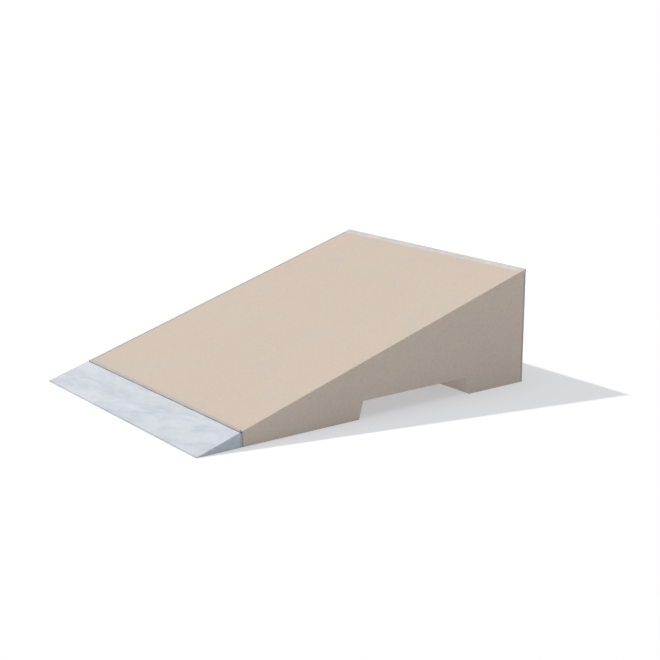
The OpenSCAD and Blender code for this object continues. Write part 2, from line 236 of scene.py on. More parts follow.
# How well a rounded normal matches the true one where an edge is fully worn, and on flat faces.
WORN_MATCH = 0.75
FLAT_MATCH = 0.995
BEVEL_SAMPLES = 6


class Shader:
    """A material with one Principled shader, and short calls for its nodes."""

    def __init__(self, name, **sockets):
        self.material = bpy.data.materials.new(name)
        self.material.use_nodes = True
        self.tree = self.material.node_tree
        self.surface = self.tree.nodes["Principled BSDF"]
        for socket, value in sockets.items():
            self.surface.inputs[socket.replace("_", " ")].default_value = value
        self.place = self.node("ShaderNodeTexCoord").outputs["Object"]

    def node(self, kind, **settings):
        made = self.tree.nodes.new(kind)
        for key, value in settings.items():
            setattr(made, key, value)
        return made

    def feed(self, socket, value):
        """Links an output to a socket, or sets the socket to a plain value."""
        if isinstance(value, bpy.types.NodeSocket):
            self.tree.links.new(value, socket)
        else:
            socket.default_value = value

    def stretched(self, lengths, turn=0.0):
        """The object's own coordinates, for a texture that is longer by each of lengths and
        turned about the vertical."""
        mapping = self.node("ShaderNodeMapping", vector_type="TEXTURE")
        self.feed(mapping.inputs["Vector"], self.place)
        mapping.inputs["Rotation"].default_value = (0, 0, turn)
        mapping.inputs["Scale"].default_value = lengths
        return mapping.outputs["Vector"]

    def edges(self, reach):
        """1 on edges and corners, 0 further than reach from them."""
        rounded = self.node("ShaderNodeBevel", samples=BEVEL_SAMPLES)
        rounded.inputs["Radius"].default_value = reach
        flat = self.node("ShaderNodeNewGeometry").outputs["Normal"]
        match = self.node("ShaderNodeVectorMath", operation="DOT_PRODUCT")
        self.feed(match.inputs[0], rounded.outputs["Normal"])
        self.feed(match.inputs[1], flat)
        return self.span(match.outputs["Value"], WORN_MATCH, FLAT_MATCH, 1, 0)

    def noise(self, scale, detail=3.0, rough=0.5, twist=0.0, at=None):
        """Cloudy noise from 0 to 1, at the given coordinates or the object's own."""
        made = self.node("ShaderNodeTexNoise")
        self.feed(made.inputs["Vector"], at or self.place)
        made.inputs["Scale"].default_value = scale
        made.inputs["Detail"].default_value = detail
        made.inputs["Roughness"].default_value = rough
        made.inputs["Distortion"].default_value = twist
        return made.outputs["Fac"]

    def cells(self, scale):
        """Voronoi cells: distance to the nearest point, and one random value per cell."""
        made = self.node("ShaderNodeTexVoronoi")
        self.feed(made.inputs["Vector"], self.place)
        made.inputs["Scale"].default_value = scale
        split = self.node("ShaderNodeSeparateColor")
        self.feed(split.inputs[0], made.outputs["Color"])
        return made.outputs["Distance"], split.outputs[0]

    def maths(self, operation, a, b=0.0, c=0.0):
        made = self.node("ShaderNodeMath", operation=operation)
        for socket, value in zip(made.inputs, (a, b, c)):
            self.feed(socket, value)
        return made.outputs[0]

    def span(self, value, low, high, to_low=0.0, to_high=1.0):
        """Maps low..high to to_low..to_high, with a soft start and end."""
        made = self.node("ShaderNodeMapRange", interpolation_type="SMOOTHSTEP")
        for socket, given in zip(made.inputs, (value, low, high, to_low, to_high)):
            self.feed(socket, given)
        return made.outputs[0]

    def around(self, value, amount):
        """value's swing about its middle, scaled to plus and minus amount."""
        return self.maths("MULTIPLY_ADD", value, 2 * amount, -amount)

    def around_level(self, level, value, amount):
        """level, plus and minus amount as value swings."""
        return self.maths("ADD", level, self.around(value, amount))

    def times(self, a, b):
        return self.maths("MULTIPLY", a, b)

    def total(self, *values):
        """The sum of all values."""
        result = values[0]
        for value in values[1:]:
            result = self.maths("ADD", result, value)
        return result

    def mix(self, share, a, b):
        """Colour a where share is 0, and b where it is 1."""
        made = self.node("ShaderNodeMix", data_type="RGBA")
        self.feed(made.inputs["Factor"], share)
        self.feed(made.inputs["A"], a if not isinstance(a, tuple) else (*a, 1))
        self.feed(made.inputs["B"], b if not isinstance(b, tuple) else (*b, 1))
        return [o for o in made.outputs if o.type == "RGBA"][0]

    def tint(self, body, mask, amount, color):
        """body, with up to amount of color where mask is 1."""
        return self.mix(self.times(mask, amount), body, color)

    def coordinate(self, letter):
        """The object's own X, Y or Z."""
        split = self.node("ShaderNodeSeparateXYZ")
        self.feed(split.inputs[0], self.place)
        return split.outputs[letter]

    def bump(self, value, depth, strength=1.0, on=None):
        """A normal that value raises by up to depth, on top of an earlier normal."""
        made = self.node("ShaderNodeBump")
        made.inputs["Distance"].default_value = depth
        made.inputs["Strength"].default_value = strength
        self.feed(made.inputs["Height"], value)
        if on:
            self.feed(made.inputs["Normal"], on)
        return made.outputs[0]

    def finish(self, color, roughness=None, normal=None, metallic=None):
        """Feeds the shader and gives back the material."""
        given = {"Base Color": color, "Roughness": roughness, "Normal": normal, "Metallic": metallic}
        for socket, value in given.items():
            if value is not None:
                self.feed(self.surface.inputs[socket], value)
        return self.material


def shade_of(color, factor):
    """color made darker or lighter."""
    return tuple(c * factor for c in color)


def tinged(color, factors):
    """color with each channel made darker or lighter by its own factor."""
    return tuple(c * f for c, f in zip(color, factors))


CONCRETE = (0.505, 0.430, 0.365)
CONCRETE_GREY = (0.480, 0.430, 0.380)
RIM_STAIN = (0.20, 0.205, 0.21)
# Factors on those colours.
TONE_LOW = 0.86
TONE_HIGH = 1.14
# The next factor lightens the tunnel's concrete: painted light.
TUNNEL_PAINTED_LIGHT = 1.30
GRIMY = 0.62
DARK = 0.5
SPECK_PALE = 1.4
# Shares of the sand grains that are dark and pale.
DARK_SPECKS = 0.07
PALE_SPECKS = 0.06
# Distances from an edge over which its stain fades in, and the height of splashes.
FAR_RIM = (0.020, 0.012)
REAR_RIM = (0.018, 0.010)
SPLASH_H = 0.045


def at_sides(s):
    """1 on the two side faces, 0 a few millimetres in from them."""
    return s.span(s.maths("ABSOLUTE", s.coordinate("Y")), HALF_W - 0.004, HALF_W - 0.001)


def in_tunnel(s):
    """1 on the tunnel's own walls and roof, where painted light makes the concrete paler."""
    along = s.times(s.span(s.coordinate("X"), TUNNEL_FRONT - 0.01, TUNNEL_FRONT),
                    s.span(s.coordinate("X"), TUNNEL_REAR, TUNNEL_REAR + 0.01, 1, 0))
    low = s.span(s.coordinate("Z"), TUNNEL_H, TUNNEL_H + 0.002, 1, 0)
    return s.times(s.times(along, low), s.maths("SUBTRACT", 1.0, at_sides(s)))


def far_rim(s):
    """The strip of the deck along its far edge."""
    return s.span(s.coordinate("Y"), HALF_W - FAR_RIM[0], HALF_W - FAR_RIM[1])


def rear_rim(s):
    """The strips of the sides along the rear arrises."""
    return s.times(at_sides(s), s.span(s.coordinate("X"), REAR_X - REAR_RIM[0], REAR_X - REAR_RIM[1]))


def specked(s, body, sand):
    """body with a few dark and pale sand grains on it."""
    distance, pick = s.cells(340)
    ragged = s.maths("ADD", distance, s.around(sand, 0.25))
    dot = s.span(ragged, 0.16, 0.34, 1, 0)
    body = s.tint(body, s.times(dot, s.maths("GREATER_THAN", pick, 1 - DARK_SPECKS)), 0.45,
                  shade_of(CONCRETE, DARK))
    return s.tint(body, s.times(dot, s.maths("LESS_THAN", pick, PALE_SPECKS)), 0.4,
                  shade_of(CONCRETE_GREY, SPECK_PALE))


def concrete_material(name, cloud, grain, pores, rim):
    """Fine beige concrete: soft clouds, sand grains, a few dark and pale specks, pores darkened
    with painted shade, a grey stain along the edges that rim finds, and painted light that
    makes the tunnel paler. cloud and grain are how much the tone swings, and pores is the
    share of cells with a pore."""
    s = Shader(name, Roughness=0.9, Specular_IOR_Level=0.25)
    clouds = s.noise(2.6, 4, 0.55, 0.4)
    mottle = s.noise(24, 4, 0.6)
    grit = s.noise(85, 2, 0.5)
    sand = s.noise(820, 2, 0.6)
    tone = s.total(0.5, s.around(clouds, cloud), s.around(mottle, cloud),
                   s.around(grit, 2.5 * cloud), s.around(sand, grain))
    warm = s.mix(tone, shade_of(CONCRETE, TONE_LOW), shade_of(CONCRETE, TONE_HIGH))
    grey = s.mix(tone, shade_of(CONCRETE_GREY, TONE_LOW), shade_of(CONCRETE_GREY, TONE_HIGH))
    body = s.mix(s.span(s.noise(5.5, 3, 0.5, 0.8), 0.42, 0.70, 0, 0.5), warm, grey)
    body = specked(s, body, sand)
    wear = s.times(s.edges(0.005), s.span(mottle, 0.30, 0.62, 0.35, 1))
    body = s.tint(body, wear, 0.42, shade_of(CONCRETE_GREY, GRIMY))
    stain = s.times(rim(s), s.span(mottle, 0.20, 0.55, 0.6, 1))
    body = s.tint(body, stain, 0.5, RIM_STAIN)
    # Painted light: the tunnel's walls and roof are made paler, so that they look lit though they stand in shade.
    body = s.tint(body, in_tunnel(s), 0.5, shade_of(CONCRETE_GREY, TUNNEL_PAINTED_LIGHT))
    splash = s.times(s.span(s.coordinate("Z"), 0.0, SPLASH_H, 1, 0), s.span(mottle, 0.3, 0.7))
    body = s.tint(body, splash, 0.16, shade_of(CONCRETE_GREY, GRIMY))
    # Pores: a pit for the bump, darkened in colour by painted shade.
    distance, pick = s.cells(95)
    pit_and_shade = s.times(s.span(distance, 0.02, 0.11, 1, 0), s.maths("GREATER_THAN", pick, 1 - pores))
    body = s.tint(body, pit_and_shade, 0.55, shade_of(CONCRETE, DARK))
    normal = s.bump(sand, 0.00035)
    normal = s.bump(mottle, 0.0008, 0.7, normal)
    normal = s.bump(s.maths("SUBTRACT", 1.0, pit_and_shade), 0.0012, 1.0, normal)
    return s.finish(body, s.around_level(0.9, mottle, 0.05), normal)


ZINC = (0.475, 0.503, 0.543)
# Painted shade: a darker copy of the toe's zinc for the cheeks and ribs, which stand side-on to the light.
ZINC_WEBS_PAINTED_SHADE = (0.450, 0.477, 0.516)
# Painted light: a lighter, warmer zinc for the nosing, to make up for the dark low sky that its steel reflects.
ZINC_NOSING_PAINTED_LIGHT = (0.545, 0.520, 0.500)
# Factors on a zinc colour, channel by channel.
ZINC_DULL = (0.87, 0.895, 0.93)
ZINC_BRIGHT = (1.13, 1.13, 1.13)
ZINC_VEIN = (0.74, 0.80, 0.88)
ZINC_WORN = (0.62, 0.62, 0.62)
STREAK_TURN = math.radians(14)
STREAK_LENGTHS = (1.0, 3.2, 1.0)
JOINT_DIRT = (0.37, 0.365, 0.36)
SCUFF = (0.002, 0.010)  # distances from the toe's tip over which scuffs fade out


def joint_dirt(s, mask):
    """Dirt that has settled in the joint between toe and block, thinned by mask."""
    x = s.coordinate("X")
    joint = s.times(s.span(x, TOE_EDGE_X - 0.002, TOE_EDGE_X),
                    s.span(x, FRONT_X, FRONT_X + 0.004, 1, 0))
    return s.times(joint, s.span(mask, 0.20, 0.60, 0.6, 1))


def galvanised_material(name, zinc):
    """Hot-dip zinc: grey clouds, crystal cells, and bluish veins that run aslant."""
    s = Shader(name)
    aslant = s.stretched(STREAK_LENGTHS, STREAK_TURN)
    clouds = s.noise(7.0, 5, 0.6, 0.8, aslant)
    bloom = s.noise(24, 4, 0.6, 0.5, aslant)
    frost = s.noise(210, 3, 0.6)
    _, crystal = s.cells(62)
    _, small_crystal = s.cells(150)
    tone = s.total(0.5, s.around(clouds, 0.9), s.around(bloom, 0.35), s.around(frost, 0.15),
                   s.around(crystal, 0.08), s.around(small_crystal, 0.10))
    body = s.mix(tone, tinged(zinc, ZINC_DULL), tinged(zinc, ZINC_BRIGHT))
    ridge = s.maths("ABSOLUTE", s.maths("SUBTRACT", s.noise(3.4, 3, 0.5, 0.4, aslant), 0.5))
    vein = s.times(s.span(ridge, 0.0, 0.030, 1, 0), s.span(bloom, 0.40, 0.60))
    body = s.tint(body, vein, 0.5, tinged(zinc, ZINC_VEIN))
    wear = s.times(s.edges(0.0016), s.span(frost, 0.35, 0.6))
    scuff = s.span(s.coordinate("X"), cad_lo.x + SCUFF[0], cad_lo.x + SCUFF[1], 1, 0)
    wear = s.maths("MAXIMUM", wear, s.times(scuff, s.span(bloom, 0.25, 0.55, 0.6, 1)))
    body = s.tint(body, wear, 0.5, tinged(zinc, ZINC_WORN))
    body = s.tint(body, joint_dirt(s, bloom), 0.8, JOINT_DIRT)
    rough = s.total(0.60, s.around(clouds, 0.10), s.around(crystal, 0.05), s.times(wear, -0.12))
    normal = s.bump(bloom, 0.0005, 0.5)
    normal = s.bump(frost, 0.00008, 0.6, normal)
    return s.finish(body, rough, normal, 0.5)


def plated_material():
    """Zinc-plated steel with a fine brushed grain."""
    s = Shader("zinc_plate")
    brushed = s.noise(300, 3, 0.6, 0, s.stretched((1, 16, 1)))
    dull = s.noise(35, 4, 0.6)
    tone = s.total(0.5, s.around(brushed, 0.45), s.around(dull, 0.4))
    body = s.mix(tone, (0.38, 0.385, 0.395), (0.54, 0.545, 0.555))
    body = s.tint(body, s.edges(0.0008), 0.5, (0.52, 0.52, 0.53))
    dirt = joint_dirt(s, dull)
    body = s.tint(body, dirt, 0.85, JOINT_DIRT)
    rough = s.total(0.48, s.around(dull, 0.12), s.times(dirt, 0.30))
    metal = s.maths("MULTIPLY_ADD", dirt, -0.60, 0.65)
    return s.finish(body, rough, s.bump(brushed, 0.00006, 0.6), metal)


def weld_material():
    """Weld metal under zinc: duller and rougher than the plate, heat-tinted in places."""
    s = Shader("weld_bead")
    heat = s.noise(60, 4, 0.6)
    body = s.mix(heat, (0.28, 0.29, 0.31), (0.42, 0.44, 0.47))
    body = s.tint(body, s.edges(0.0008), 0.5, (0.50, 0.51, 0.53))
    return s.finish(body, s.total(0.55, s.around(heat, 0.12)), s.bump(s.noise(900, 2), 0.0001), 0.5)


def rubber_material():
    """Matt black rubber with a little dust."""
    s = Shader("rubber", Specular_IOR_Level=0.35)
    dust = s.span(s.noise(40, 5, 0.65), 0.48, 0.75, 0, 0.35)
    body = s.mix(dust, (0.022, 0.022, 0.024), (0.13, 0.125, 0.115))
    body = s.tint(body, s.edges(0.0015), 0.5, (0.16, 0.155, 0.15))
    return s.finish(body, s.total(0.72, s.times(dust, 0.5)), s.bump(s.noise(600, 2), 0.0001))


def bar_material():
    """Hot-rolled steel with patches of light rust."""
    s = Shader("bar_steel")
    rust = s.span(s.noise(45, 5, 0.65), 0.42, 0.62)
    body = s.mix(rust, (0.17, 0.165, 0.16), (0.26, 0.12, 0.055))
    body = s.tint(body, s.edges(0.0010), 0.5, (0.36, 0.35, 0.34))
    metal = s.maths("MULTIPLY_ADD", rust, -0.7, 0.8)
    return s.finish(body, s.total(0.5, s.times(rust, 0.35)), s.bump(rust, 0.0002), metal)


def spacer_material():
    """Grey fibre concrete."""
    s = Shader("spacer", Roughness=0.92)
    tone = s.total(s.noise(60, 4, 0.6), s.around(s.noise(700, 2), 0.2))
    body = s.mix(tone, (0.24, 0.235, 0.225), (0.42, 0.41, 0.39))
    body = s.tint(body, s.edges(0.0015), 0.5, (0.52, 0.51, 0.49))
    return s.finish(body, None, s.bump(tone, 0.0004))


def floor_material():
    """Pale acrylic, lit a little from below."""
    s = Shader("studio_floor", Roughness=0.95, Specular_IOR_Level=0.0)
    s.surface.inputs["Emission Color"].default_value = (*SKY_COLOR, 1)
    s.surface.inputs["Emission Strength"].default_value = FLOOR_GLOW
    return s.finish((*FLOOR_COLOR, 1))


# ---- Meshes ----

SHARP = 0.35  # radians between two faces from which an edge is softened


def make_piece(name, bm, material, body, slot, *nodes, crease=40.0):
    """Turns bm into a piece with smooth faces and sharp creases that rides on body."""
    bmesh.ops.recalc_face_normals(bm, faces=bm.faces)
    for face in bm.faces:
        face.smooth = True
    mesh = bpy.data.meshes.new(name)
    bm.to_mesh(mesh)
    bm.free()
    mesh.set_sharp_from_angle(angle=math.radians(crease))
    piece = bpy.data.objects.new(name, mesh)
    bpy.context.scene.collection.objects.link(piece)
    for each in material if isinstance(material, list) else [material]:
        mesh.materials.append(each)
    weighted = piece.modifiers.new("weighted_normals", "WEIGHTED_NORMAL")
    weighted.keep_sharp = True
    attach(piece, body)
    if nodes:
        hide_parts(*nodes)
    return piece


def add_prism(bm, outline, y0, y1):
    """Adds an outline in X and Z, extruded across the ramp from y0 to y1."""
    near = [bm.verts.new((x, y0, z)) for x, z in outline]
    far = [bm.verts.new((x, y1, z)) for x, z in outline]
    faces = [bm.faces.new(near), bm.faces.new(far[::-1])]
    for i in range(len(outline)):
        j = (i + 1) % len(outline)
        faces.append(bm.faces.new((near[j], near[i], far[i], far[j])))
    bmesh.ops.recalc_face_normals(bm, faces=faces)
    return faces


def soften(bm, width, segments=2, edges=None):
    """Rounds the given edges, or every sharp one."""
    edges = edges or [e for e in bm.edges if e.calc_face_angle(0) > SHARP]
    return bmesh.ops.bevel(bm, geom=edges, offset=width, segments=segments, profile=0.5,
                           affect="EDGES", clamp_overlap=True)


def plate_piece(name, outline, y0, y1, material, body, slot, *nodes, edge=0.0008):
    """A steel plate or bar cut to an outline, with eased edges."""
    bm = bmesh.new()
    add_prism(bm, outline, y0, y1)
    soften(bm, edge)
    return make_piece(name, bm, material, body, slot, *nodes)


# ---- Concrete block ----

SLACK = 1e-5
SEAM_TURN = 0.001  # radians under which two faces count as one

ARRIS = 0.0018
ARRIS_STEP = 0.020
ARRIS_TURN = 0.3  # radians over which an edge counts as an arris
WAVERS_PER_METRE = 9.0
WAVER_DEPTH = 0.0004
CHIPS_PER_METRE = 23.0
CHIP_DEPTH = 0.006
CHIP_FROM = 0.42  # noise over which the arris is chipped
CHIP_SHIFT = Vector((7, 3, 1))

STRIP_AREA = 0.003  # in square metres: an arris strip's face is smaller than this
FACE_AREA = 0.05  # and a flat face of the block is larger than this
FACE_ON = 0.99  # part of a face's normal that lies along an axis that it faces
DECK_UP = 0.9
STRIP_UP = 0.6

PORES_PER_SQUARE_METRE = 110
PORE_RADII = (0.0011, 0.0034)
PORE_GAP = 0.004
PORE_MARGIN = 0.012
PORE_SIDES = 10
PORE_OVAL = 0.14
PORE_STEPS = ((0.45, 0.86), (0.75, 0.5))  # depth in pore radii, and share of the width
TURNS_PER_METRE = 900  # how the ovals' direction changes from pore to pore
TRIES = 6  # places tried for each pore
BORE_SIDES = 48
SEED = 11


def nosing_points():
    """Lower edge on the deck, that edge's inside, inside corner, and foot of the rear leg."""
    top = Vector((cad_hi.x, 0, cad_hi.z))
    edge = top - NOSING_LEG * UP_DECK
    inner = edge - NOSING_T * OFF_DECK
    corner_x = cad_hi.x - NOSING_T
    corner = Vector((corner_x, 0, deck_z(corner_x) - NOSING_T / math.cos(DECK_ANGLE)))
    foot = Vector((corner_x, 0, cad_hi.z - NOSING_DROP))
    return edge, inner, corner, foot


def nosing_end_points():
    """Upper front and lower front corners of the small plate at each end of the nosing."""
    _, _, corner, foot = nosing_points()
    high = corner - NOSING_END_W * UP_DECK
    return high, Vector((high.x, 0, foot.z))


def flat(point):
    """A point of an outline: X and Z."""
    return point.x, point.z


def block_outlines():
    """Side view of the block through its middle, and through the pockets for the nosing's
    end plates."""
    lean = TUNNEL_DRAFT / TUNNEL_H
    edge, inner, corner, foot = nosing_points()
    high, low = nosing_end_points()
    f = FOOT_CHAMFER
    front = [(FRONT_X, 0), (FRONT_X, deck_z(FRONT_X)), flat(edge), flat(inner), flat(high)]
    rest = [
        flat(foot), (REAR_X, foot.z), (REAR_X, f), (REAR_X - f, 0),
        (TUNNEL_REAR + f, 0), (TUNNEL_REAR - f * lean, f),
        (TUNNEL_REAR - TUNNEL_DRAFT, TUNNEL_H), (TUNNEL_FRONT + TUNNEL_DRAFT, TUNNEL_H),
        (TUNNEL_FRONT + f * lean, f), (TUNNEL_FRONT - f, 0),
    ]
    return front + [flat(corner)] + rest, front + [flat(low)] + rest


def add_block_body(bm):
    """The plain block: one outline in the middle and the pocketed one at both ends."""
    middle, pocketed = block_outlines()
    inner_y = HALF_W - NOSING_END_T
    rows = {}
    for y in (-HALF_W, -inner_y, inner_y, HALF_W):
        points = set(pocketed) | (set(middle) if abs(y) == inner_y else set())
        rows[y] = {p: bm.verts.new((p[0], y, p[1])) for p in sorted(points)}

    def wall(outline, y0, y1):
        for p, q in zip(outline, outline[1:] + outline[:1]):
            bm.faces.new((rows[y0][p], rows[y0][q], rows[y1][q], rows[y1][p]))

    wall(pocketed, -HALF_W, -inner_y)
    wall(middle, -inner_y, inner_y)
    wall(pocketed, inner_y, HALF_W)
    bm.faces.new([rows[-HALF_W][p] for p in pocketed])
    bm.faces.new([rows[HALF_W][p] for p in pocketed])
    i = middle.index(next(p for p in middle if p not in pocketed))
    floor = [middle[i - 1], middle[i], middle[i + 1], pocketed[i]]
    for y in (-inner_y, inner_y):
        bm.faces.new([rows[y][p] for p in floor])
    bmesh.ops.recalc_face_normals(bm, faces=bm.faces)
    seams = [e for e in bm.edges if e.calc_face_angle(1) < SEAM_TURN]
    bmesh.ops.dissolve_edges(bm, edges=seams, use_verts=True)


def arrises(bm):
    """The block's edges, but for those that meet the front plate or the nosing."""
    nosing_edge, _, _, foot = nosing_points()
    found = []
    for edge in bm.edges:
        middle = (edge.verts[0].co + edge.verts[1].co) / 2
        at_front = middle.x < FRONT_X + SLACK
        at_nosing = middle.x > nosing_edge.x - SLACK and middle.z > foot.z - SLACK
        if edge.calc_face_angle(0) > ARRIS_TURN and not at_front and not at_nosing:
            found.append(edge)
    return found


def roughen_arrises(strips):
    """Gives the arrises an uneven width, with a small chip here and there, and keeps
    the flat faces beside them flat."""
    strips = set(strips)
    for vert in {v for f in strips for v in f.verts}:
        push = Vector()
        for face in vert.link_faces:
            if face in strips:
                push -= face.normal
        if push.length == 0:
            continue
        push.normalize()
        for face in vert.link_faces:
            if face not in strips:
                push -= face.normal * push.dot(face.normal)
        waver = (1 + noise.noise(vert.co * WAVERS_PER_METRE)) / 2
        chip = max(0.0, noise.noise(vert.co * CHIPS_PER_METRE + CHIP_SHIFT) - CHIP_FROM)
        vert.co += push * (WAVER_DEPTH * waver + CHIP_DEPTH * chip)


def scatter(rng, face, count, radii, margin, taken):
    """Random places and radii for pores on a flat face, clear of its border and of taken."""
    _, u, v, origin = face_axes(face)
    border = [flat_point(p.co, origin, u, v) for p in face.verts]
    xs = [p.x for p in border]
    ys = [p.y for p in border]
    found = []
    for _ in range(count * TRIES):
        if len(found) == count:
            break
        p = Vector((rng.uniform(min(xs), max(xs)), rng.uniform(min(ys), max(ys))))
        radius = radii[0] + (radii[1] - radii[0]) * rng.random() ** 3
        if not inside(p, border) or near_border(p, border, margin):
            continue
        if any((p - q).length < r + radius + PORE_GAP for q, r in found + taken):
            continue
        found.append((p, radius))
    return found


def face_axes(face):
    """A flat face's normal, two directions in it, and one of its corners."""
    n = face.normal.copy()
    u = Vector((0, 1, 0)) if abs(n.y) < 0.5 else Vector((1, 0, 0))
    u = (u - n * u.dot(n)).normalized()
    return n, u, n.cross(u), face.verts[0].co.copy()


def flat_point(co, origin, u, v):
    """A point's place in a face, along its two directions."""
    return Vector(((co - origin).dot(u), (co - origin).dot(v)))


def inside(p, border):
    """Whether p lies within a closed border."""
    odd = False
    for a, b in zip(border, border[1:] + border[:1]):
        if (a.y > p.y) != (b.y > p.y) and p.x < (b.x - a.x) * (p.y - a.y) / (b.y - a.y) + a.x:
            odd = not odd
    return odd


def near_border(p, border, margin):
    """Whether p lies within margin of the border."""
    for a, b in zip(border, border[1:] + border[:1]):
        along = b - a
        t = max(0.0, min(1.0, (p - a).dot(along) / max(along.length_squared, 1e-12)))
        if (p - a - along * t).length < margin:
            return True
    return False


def perforate(bm, face, holes):
    """Cuts round or oval holes in a flat face. holes holds (centre, radius, sides, oval).
    Returns one ring of vertices per hole."""
    n, u, v, origin = face_axes(face)
    verts = list(face.verts)
    border = [flat_point(c.co, origin, u, v) for c in verts]
    points = list(border)
    edges = [(i, (i + 1) % len(points)) for i in range(len(points))]
    ring_of = [None] * len(points)
    rings = []
    for centre, radius, sides, oval in holes:
        first = len(points)
        for i in range(sides):
            angle = 2 * math.pi * i / sides
            r = radius * (1 + oval * math.sin(2 * angle + centre.x * TURNS_PER_METRE))
            points.append(centre + Vector((math.cos(angle), math.sin(angle))) * r)
            edges.append((first + i, first + (i + 1) % sides))
            verts.append(bm.verts.new(origin + u * points[-1].x + v * points[-1].y))
            ring_of.append(len(rings))
        rings.append(verts[first:])
    _, _, triangles, sources, _, _ = delaunay_2d_cdt(points, edges, [], 1, 1e-7)
    made = []
    for triangle in triangles:
        ids = [sources[i][0] for i in triangle]
        ring = {ring_of[i] for i in ids}
        if len(ring) == 1 and None not in ring:
            continue
        if not inside(sum((points[i] for i in ids), Vector((0, 0))) / 3, border):
            continue
        new = bm.faces.new([verts[i] for i in ids])
        new.material_index = face.material_index
        made.append(new)
    bm.faces.remove(face)
    bm.normal_update()
    for new in made:
        if new.normal.dot(n) < 0:
            new.normal_flip()
    return rings, n


def sink(bm, ring, normal, steps):
    """Continues a ring of vertices inwards. steps holds (depth, radius factor); the last
    ring is closed with a fan."""
    centre = sum((v.co for v in ring), Vector()) / len(ring)
    arms = [v.co - centre for v in ring]
    last = ring
    for depth, factor in steps:
        new = [bm.verts.new(centre + arm * factor - normal * depth) for arm in arms]
        for i in range(len(ring)):
            j = (i + 1) % len(ring)
            bm.faces.new((last[i], last[j], new[j], new[i]))
        last = new
    tip = bm.verts.new(centre - normal * steps[-1][0])
    for i in range(len(ring)):
        bm.faces.new((last[i], last[(i + 1) % len(ring)], tip))


def add_hollows(bm, face, rng, bores, bore_radius, bore_steps):
    """Cuts round bores for what is cast into a face, and the blowholes of a formed face."""
    _, u, v, origin = face_axes(face)
    places = [(flat_point(Vector(p), origin, u, v), bore_radius) for p in bores]
    count = int(face.calc_area() * PORES_PER_SQUARE_METRE)
    pores = scatter(rng, face, count, PORE_RADII, PORE_MARGIN, places)
    holes = [(p, r, BORE_SIDES, 0.0) for p, r in places]
    holes += [(p, r, PORE_SIDES, PORE_OVAL) for p, r in pores]
    rings, n = perforate(bm, face, holes)
    for ring in rings[:len(places)]:
        sink(bm, ring, n, bore_steps)
    for ring, (_, r) in zip(rings[len(places):], pores):
        sink(bm, ring, n, [(depth * r, width) for depth, width in PORE_STEPS])


def spacer_places():
    """Centres of the bar spacers, which show in the feet."""
    centres = []
    for vert in frame["nodes"]["bar_spacers"].data.vertices:
        on_ground = Vector((vert.co.x, vert.co.y, 0))
        known = next((c for c in centres if (c[0] - on_ground).length < 3 * SPACER_R), None)
        if known:
            known[1].append(on_ground)
        else:
            centres.append((on_ground, [on_ground]))
    return [box_middle(points) for _, points in centres]


def box_middle(points):
    """The middle of the box round some points."""
    return Vector([(min(p[k] for p in points) + max(p[k] for p in points)) / 2 for k in range(3)])


def make_block(deck, formed):
    """The concrete, with bores for what shows in its faces, eased arrises and blowholes."""
    bm = bmesh.new()
    add_block_body(bm)
    for edge in arrises(bm):
        cuts = int(edge.calc_length() / ARRIS_STEP)
        if cuts > 1:
            bmesh.ops.subdivide_edges(bm, edges=[edge], cuts=cuts)
    made = soften(bm, ARRIS, 2, arrises(bm))
    bm.normal_update()
    strips = [f for f in made["faces"] if f.calc_area() < STRIP_AREA]
    roughen_arrises(strips)
    bm.normal_update()
    rng = random.Random(SEED)
    wall = SOCKET_R / SOCKET_RECESS_R
    socket = [(SOCKET_RECESS, 1), (SOCKET_RECESS, wall), (SOCKET_RECESS + SOCKET_L, wall)]
    sockets = [Vector((REAR_X, y, SOCKET_Z)) for y in (-SOCKET_Y, SOCKET_Y)]
    for face in [f for f in bm.faces if f.calc_area() > FACE_AREA]:
        face.material_index = 1
        middle = face.calc_center_median()
        if face.normal.z > DECK_UP:
            face.material_index = 0
        elif face.normal.z < -FACE_ON and middle.z < TUNNEL_H / 2:
            here = [p for p in spacer_places() if (p.x < 0) == (middle.x < 0)]
            add_hollows(bm, face, rng, here, SPACER_R, [(SPACER_H, 1)])
        elif face.normal.x > FACE_ON:
            add_hollows(bm, face, rng, sockets, SOCKET_RECESS_R, socket)
        elif face.normal.x > -FACE_ON:
            add_hollows(bm, face, rng, [], 0, [])
    for face in bm.faces:
        if face.calc_area() < STRIP_AREA and face.normal.z < STRIP_UP:
            face.material_index = 1
    make_piece("ramp_block", bm, [deck, formed], "block", "concrete", "concrete_block", crease=50)


# ---- Steel around the block ----

def make_nosing(steel):
    """The angle along the top rear edge, and the small plates that close its ends."""
    edge, inner, corner, foot = nosing_points()
    outline = [(cad_hi.x, cad_hi.z), flat(edge), flat(inner), flat(corner), flat(foot),
               (cad_hi.x, foot.z)]
    plate_piece("nosing_angle", outline, -HALF_W, HALF_W, steel, "block", "galvanised", "nosing",
                edge=0.0012)
    high, low = nosing_end_points()
    end = [flat(corner), flat(high), flat(low), flat(foot)]
    for name, side in (("left", 1), ("right", -1)):
        faces = sorted((side * HALF_W, side * (HALF_W - NOSING_END_T)))
        plate_piece("nosing_cap_" + name, end, *faces, steel, "block", "galvanised",
                    "nosing_end_" + name, edge=0.0004)


def make_front_plate(steel):
    """The plate on the concrete's front, which carries the hinge."""
    x0, x1 = FRONT_PLATE_X, FRONT_X
    outline = [(x0, 0), (x0, deck_z(x0) - FRONT_CHAMFER),
               (x0 + FRONT_CHAMFER, deck_z(x0 + FRONT_CHAMFER)), (x1, deck_z(x1)), (x1, 0)]
    plate_piece("front_plate_steel", outline, -HALF_W, HALF_W, steel, "block", "galvanised",
                "front_plate", edge=0.0005)


# ---- Toe ----

